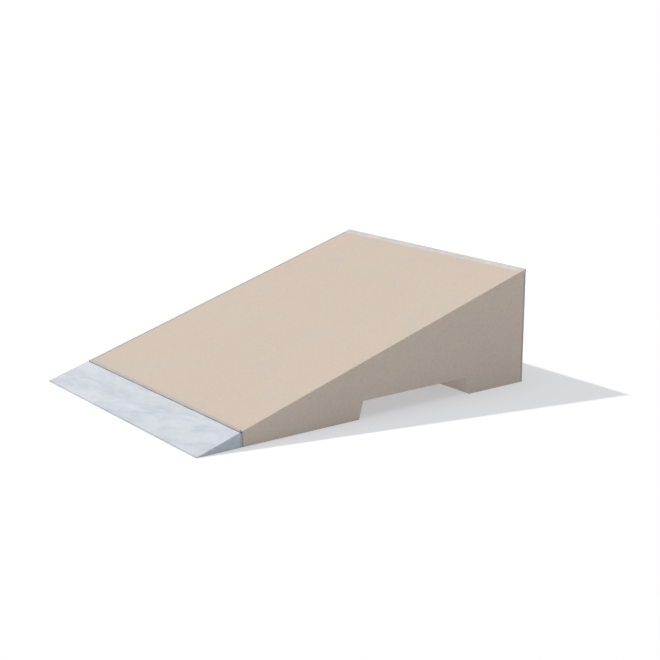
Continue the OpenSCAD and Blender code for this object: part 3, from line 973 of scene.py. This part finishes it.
def make_toe_plates(steel):
    """The toe's deck plate, rear plate and foot strip."""
    tip = cad_lo.x
    under = PLATE_T / math.cos(DECK_ANGLE)
    top = [(tip, 0), (tip, NOSE_H), (TOE_EDGE_X, deck_z(TOE_EDGE_X)),
           (TOE_EDGE_X, under_plate_z(TOE_EDGE_X)), (tip + (under - NOSE_H) / SLOPE, 0)]
    plate_piece("toe_deck_plate", top, -HALF_W, HALF_W, steel, "toe", "galvanised",
                "toe_top_plate", edge=0.0007)
    back = [(TOE_INNER_X, 0), (TOE_INNER_X, under_plate_z(TOE_INNER_X)),
            (TOE_BACK_X, under_plate_z(TOE_BACK_X)), (TOE_BACK_X, 0)]
    inner = HALF_W - PLATE_T
    plate_piece("toe_rear_plate", back, -inner, inner, steel, "toe", "galvanised",
                "toe_back_plate", edge=0.0005)
    bar = [(TOE_INNER_X - FOOT_BAR_W, 0), (TOE_INNER_X - FOOT_BAR_W, PLATE_T),
           (TOE_INNER_X, PLATE_T), (TOE_INNER_X, 0)]
    plate_piece("toe_foot_strip", bar, -inner, inner, steel, "toe", "galvanised",
                "toe_foot_bar", edge=0.0009)


def cheek_outline():
    """Side plate that runs on past the rear plate and covers the joint."""
    rear_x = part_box("toe_cheek_left")[1].x
    cover_z = AXIS.z - COVER_DROP
    return [(CHEEK_FRONT_X, 0), (CHEEK_FRONT_X, under_plate_z(CHEEK_FRONT_X)),
            (TOE_EDGE_X, under_plate_z(TOE_EDGE_X)), (TOE_EDGE_X + COVER_SLANT, cover_z),
            (rear_x, cover_z), (rear_x, COVER_LIFT), (TOE_BACK_X, COVER_LIFT), (TOE_BACK_X, 0)]


def rib_outline():
    """Rib with a quarter-round notch in its upper rear corner."""
    top = under_plate_z(TOE_INNER_X)
    steps = 8
    start = math.pi + DECK_ANGLE
    notch = []
    for i in range(steps + 1):
        angle = start + (1.5 * math.pi - start) * i / steps
        notch.append((TOE_INNER_X + RIB_NOTCH * math.cos(angle), top + RIB_NOTCH * math.sin(angle)))
    return [(RIB_FRONT_X, 0), (RIB_FRONT_X, under_plate_z(RIB_FRONT_X)), *notch,
            (TOE_INNER_X, PLATE_T), (TOE_INNER_X - FOOT_BAR_W, PLATE_T),
            (TOE_INNER_X - FOOT_BAR_W, 0)]


def make_toe_webs(steel):
    """The two cheeks and the ribs."""
    for name, side in (("left", 1), ("right", -1)):
        faces = sorted((side * HALF_W, side * (HALF_W - PLATE_T)))
        plate_piece("toe_side_" + name, cheek_outline(), *faces, steel, "toe", "galvanised",
                    "toe_cheek_" + name, edge=0.0005)
    for i, y in enumerate(spread(RIBS, RIB_PITCH)):
        plate_piece(f"toe_web_{i + 1}", rib_outline(), y - PLATE_T / 2, y + PLATE_T / 2, steel,
                    "toe", "galvanised", f"toe_rib_{i + 1}", edge=0.0006)


# ---- Welds ----

BEAD_STEP = 0.0024
BEAD_LEG = 0.0042
FOOT_BEAD_LEG = 0.0034
SEAM_LEG = 0.0048
BEAD_ROOT = 0.0004  # how far a bead's inner corner reaches into the two plates
BEAD_ARC = ((1, 0), (0.80, 0.34), (0.58, 0.58), (0.34, 0.80), (0, 1))  # in legs
RIPPLE = 0.07  # swing of a bead's size from ring to ring, as a share of it
RIPPLE_TURN = 2.1  # radians of that swing between rings
LUMP = 0.16  # swing of its size by noise
LUMPS_PER_METRE = 130
END_SIZE = 0.55  # size at both ends
END_TAPER = 6  # how fast it grows from there, in shares of the length
BEAD_GAP = 0.004
BEAD_CORNER_GAP = 0.006
BEAD_RISE = 0.001


def add_bead(bm, start, end, a, b, leg=BEAD_LEG):
    """A fillet weld along a corner: a and b point from the corner along the two plates."""
    along = end - start
    count = max(4, int(along.length / BEAD_STEP))
    rings = []
    for i in range(count + 1):
        t = i / count
        place = start + along * t
        ripple = 1 + RIPPLE * math.sin(i * RIPPLE_TURN) + LUMP * noise.noise(place * LUMPS_PER_METRE)
        taper = min(1.0, END_SIZE + END_TAPER * min(t, 1 - t))
        size = leg * ripple * taper
        arc = [place + (a * on_a + b * on_b) * size for on_a, on_b in BEAD_ARC]
        rings.append([bm.verts.new(co) for co in [place - (a + b) * BEAD_ROOT, *arc]])
    sides = len(rings[0])
    for near, far in zip(rings, rings[1:]):
        for i in range(sides):
            j = (i + 1) % sides
            bm.faces.new((near[i], near[j], far[j], far[i]))
    bm.faces.new(rings[0][::-1])
    bm.faces.new(rings[-1])


def make_toe_welds(metal):
    """Fillet welds under the toe: webs to the deck plate, rear plate and foot strip, and
    the long seam between the deck plate and the rear plate."""
    bm = bmesh.new()
    down = -OFF_DECK
    notch_x = TOE_INNER_X - RIB_NOTCH * math.cos(DECK_ANGLE)
    webs = [(y, (-1, 1)) for y in spread(RIBS, RIB_PITCH)]
    webs += [(HALF_W - PLATE_T / 2, (-1,)), (-HALF_W + PLATE_T / 2, (1,))]
    for y, sides in webs:
        for side in sides:
            face_y = y + side * PLATE_T / 2
            out = Vector((0, side, 0))
            x0 = RIB_FRONT_X + BEAD_GAP
            start = Vector((x0, face_y, under_plate_z(x0)))
            end = Vector((notch_x, face_y, under_plate_z(notch_x)))
            add_bead(bm, start, end, out, down)
            low = Vector((TOE_INNER_X, face_y, PLATE_T + BEAD_RISE))
            high = Vector((TOE_INNER_X, face_y, under_plate_z(TOE_INNER_X) - RIB_NOTCH))
            add_bead(bm, low, high, out, Vector((-1, 0, 0)))
            start = Vector((TOE_INNER_X - FOOT_BAR_W + BEAD_GAP, face_y, PLATE_T))
            end = Vector((TOE_INNER_X - BEAD_CORNER_GAP, face_y, PLATE_T))
            add_bead(bm, start, end, out, Vector((0, 0, 1)), FOOT_BEAD_LEG)
    inner = HALF_W - PLATE_T - BEAD_GAP
    top = under_plate_z(TOE_INNER_X)
    add_bead(bm, Vector((TOE_INNER_X, -inner, top)), Vector((TOE_INNER_X, inner, top)),
             -UP_DECK, Vector((0, 0, -1)), SEAM_LEG)
    make_piece("toe_welds", bm, metal, "toe", "galvanised", crease=60)


# ---- Screws ----

HEX_SIDES = 6
HEAD_SIDES = 24
HEAD_CHAMFER = 0.0003
HEX_TAPER = 0.96  # size of the socket's floor against its mouth
HEX_SHARE = 0.7  # the socket's depth is this share of the head
HEX_DEPTH = 0.002  # and at most this
LEAF_HEAD_R = 0.0045
LEAF_HEAD_T = 0.0014
LEAF_HEX_R = 0.0016
LEAF_HEAD_RISE = 0.00015
BUFFER_HEAD_R = 0.0047
BUFFER_HEAD_T = 0.003
BUFFER_HEX_R = 0.0020


def add_screw(bm, face, out, radius, head_t, socket_r, rise):
    """A round screw head that rises out of a face, with a chamfered rim and a hexagon socket."""
    u = Vector((0, 1, 0))
    v = out.cross(u)

    def ring(ring_r, lift, count=HEAD_SIDES):
        made = []
        for i in range(count):
            angle = 2 * math.pi * i / count
            arm = (u * math.cos(angle) + v * math.sin(angle)) * ring_r
            made.append(bm.verts.new(face + arm + out * lift))
        return made

    def join(a, b):
        for i in range(len(a)):
            j = (i + 1) % len(a)
            bm.faces.new((a[i], a[j], b[j], b[i]))

    base = ring(radius, rise - head_t)
    rim = ring(radius, rise - HEAD_CHAMFER)
    top = ring(radius - HEAD_CHAMFER, rise)
    join(base, rim)
    join(rim, top)
    hexagon = ring(socket_r, rise, HEX_SIDES)
    floor = ring(socket_r * HEX_TAPER, rise - min(head_t * HEX_SHARE, HEX_DEPTH), HEX_SIDES)
    join(hexagon, floor)
    share = HEAD_SIDES // HEX_SIDES
    for i in range(HEX_SIDES):
        j = (i + 1) % HEX_SIDES
        arc = [top[(i * share + k) % HEAD_SIDES] for k in range(share + 1)]
        bm.faces.new(arc + [hexagon[j], hexagon[i]])
    bm.faces.new(floor)
    bm.faces.new(base)


def make_screws(metal):
    """The screws of both hinge leaves and of the buffer."""
    z = AXIS.z - LEAF_SCREW_DROP
    for body, side in (("block", 1), ("toe", -1)):
        bm = bmesh.new()
        for y in spread(LEAF_SCREWS, LEAF_SCREW_PITCH):
            face = Vector((AXIS.x + side * LEAF_FACE, y, z))
            add_screw(bm, face, Vector((-side, 0, 0)), LEAF_HEAD_R, LEAF_HEAD_T, LEAF_HEX_R,
                      LEAF_HEAD_RISE)
        make_piece(body + "_leaf_heads", bm, metal, body, "zinc", body + "_leaf_screws")
    lo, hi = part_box("buffer_screws")
    bm = bmesh.new()
    for y in spread(BUFFER_SCREWS, BUFFER_SCREW_PITCH):
        face = Vector((lo.x, y, (lo.z + hi.z) / 2))
        add_screw(bm, face, Vector((-1, 0, 0)), BUFFER_HEAD_R, BUFFER_HEAD_T, BUFFER_HEX_R, 0.0)
    make_piece("buffer_heads", bm, metal, "block", "zinc", "buffer_screws")


# ---- Frame nodes that keep their shape ----

def dress_frame(materials):
    """Gives each CAD node the material of its own slot."""
    for entry in frame["record"]["subparts"]:
        node = frame["nodes"][entry["node"]]
        node.data.materials.clear()
        node.data.materials.append(materials[entry["material_slot"]])


# ---- The scene ----

def make_floor():
    """A plain floor just under the ramp's feet, so that the two don't share a plane."""
    half = FLOOR_SIZE / 2
    bm = bmesh.new()
    corners = [(-half, -half), (half, -half), (half, half), (-half, half)]
    bm.faces.new([bm.verts.new((*c, -FLOOR_GAP)) for c in corners])
    mesh = bpy.data.meshes.new("studio_floor")
    bm.to_mesh(mesh)
    bm.free()
    mesh.materials.append(floor_material())
    floor = bpy.data.objects.new("studio_floor", mesh)
    bpy.context.scene.collection.objects.link(floor)


bpy.context.scene.view_settings.view_transform = "Standard"
make_camera()
make_lamp("sun", SUN_TRAVEL, SUN_POWER, SUN_SPREAD, SUN_COLOR)
make_lamp("fill", -camera_back(), FILL_POWER, FILL_SPREAD, SKY_COLOR)
make_sky()
make_floor()

galvanised = galvanised_material("galvanised", ZINC)
plated = plated_material()
weld = weld_material()
deck_concrete = concrete_material("concrete_deck", cloud=0.10, grain=0.30, pores=0.02, rim=far_rim)
formed_concrete = concrete_material("concrete_formed", cloud=0.16, grain=0.22, pores=0.10,
                                    rim=rear_rim)
dress_frame({
    "concrete": formed_concrete,
    "galvanised": galvanised,
    "zinc": plated,
    "stud_steel": plated,
    "bar_steel": bar_material(),
    "rubber": rubber_material(),
    "spacer": spacer_material(),
})
make_block(deck_concrete, formed_concrete)
# The nosing takes the lighter zinc, which is painted light.
make_nosing(galvanised_material("galvanised_nosing", ZINC_NOSING_PAINTED_LIGHT))
make_front_plate(galvanised)
make_toe_plates(galvanised)
# The cheeks and ribs take the darker zinc, which is painted shade.
make_toe_webs(galvanised_material("galvanised_webs_painted_shade", ZINC_WEBS_PAINTED_SHADE))
make_toe_welds(weld)
make_screws(plated)
